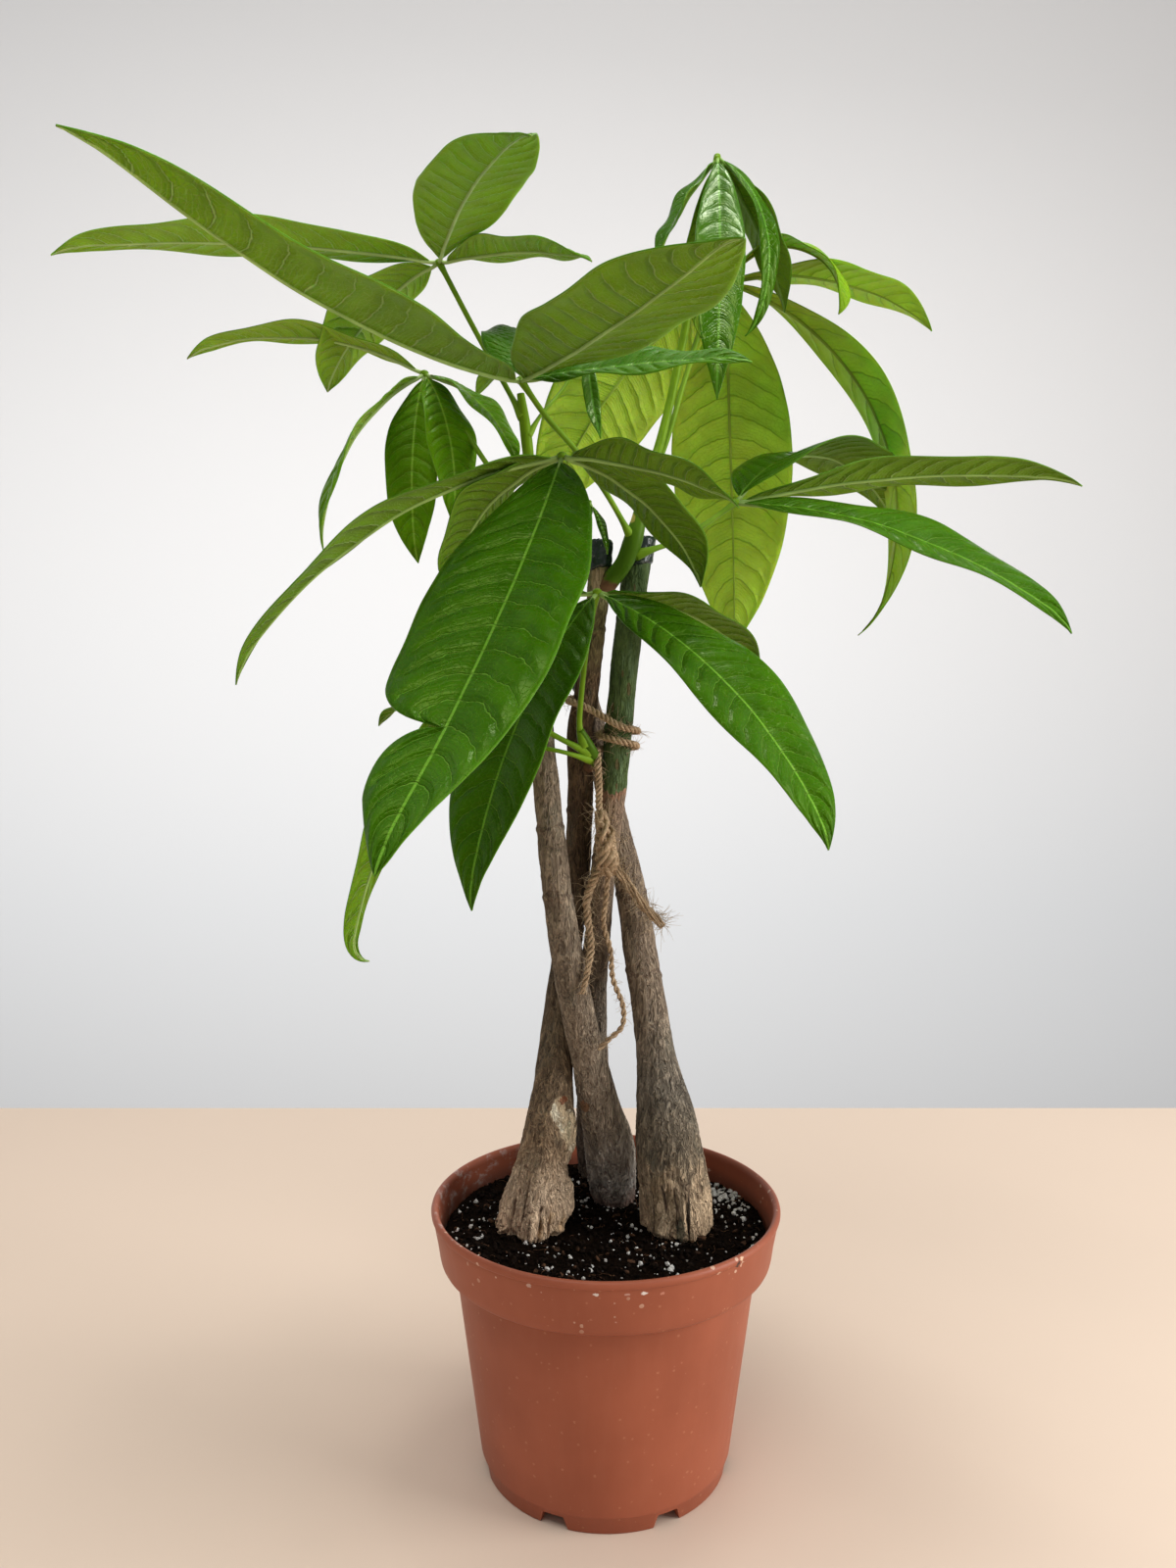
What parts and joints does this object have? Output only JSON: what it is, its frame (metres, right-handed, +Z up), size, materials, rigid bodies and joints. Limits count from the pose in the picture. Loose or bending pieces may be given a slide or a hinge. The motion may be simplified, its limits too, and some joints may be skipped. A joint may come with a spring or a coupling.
{
  "type": "potted money tree",
  "caption": "Young money tree in a round nursery pot: slim canes tied with jute twine, cut tops sealed with wax, and green shoots with hand-shaped leaves of lance-shaped leaflets",
  "frame": {"origin": "middle of the pot's foot, on the surface it stands on", "axes": "+Z up; the side seen in the picture faces -Y; +X to the right in the picture"},
  "size_m": [0.4376, 0.3413, 0.5615],
  "materials": {
    "pot": "satin",
    "soil": "matte",
    "brown_bark": "matte",
    "green_bark": "matte",
    "wax": "gloss",
    "leaf": "satin",
    "jute": "matte"
  },
  "bodies": {
    "root": {"pot": "pot", "soil": "soil", "cane_left": "brown_bark", "cane_middle": "brown_bark", "cane_right": "brown_bark", "cane_back": "green_bark", "wax_cap_left": "wax", "wax_cap_middle": "wax", "wax_cap_right": "wax", "wax_cap_back": "wax", "shoot_upper": "leaf", "shoot_left": "leaf", "shoot_lower": "leaf", "twine": "jute", "twine_end": "jute"}
  },
  "joints": []
}
